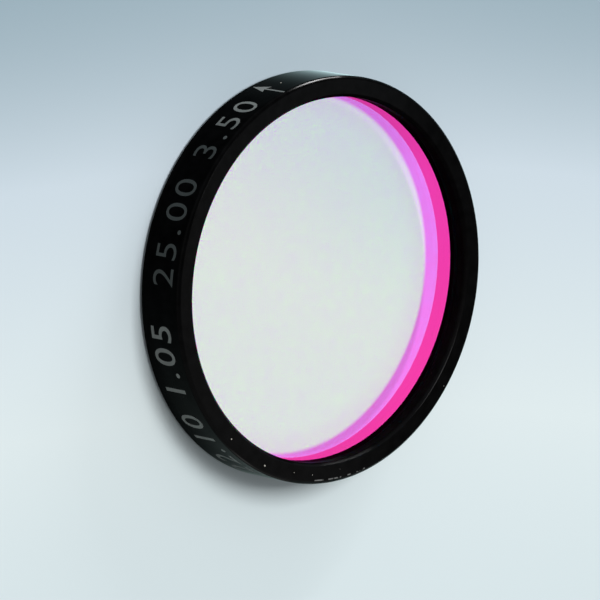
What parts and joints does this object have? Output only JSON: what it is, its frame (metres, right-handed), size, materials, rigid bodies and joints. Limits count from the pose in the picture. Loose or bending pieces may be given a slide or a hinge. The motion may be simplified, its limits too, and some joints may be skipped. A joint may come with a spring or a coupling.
{
  "type": "optical filter",
  "caption": "Round mounted optical filter: a thin coated glass disc held against the lip of a slim black anodised ring by a slotted retaining ring behind it.",
  "frame": {"origin": "centre of the ring's back face, on the optical axis", "axes": "+Z along the optical axis, from the back face to the front face; +X across one slot of the retaining ring"},
  "size_m": [0.025, 0.025, 0.0035],
  "materials": {
    "black_anodised": "satin black anodised turned aluminium",
    "coated_glass": "polished glass with interference coatings, clear face on and pink in reflection"
  },
  "bodies": {
    "root": {"cell": "black_anodised", "filter_glass": "coated_glass", "retaining_ring": "black_anodised"}
  },
  "joints": []
}
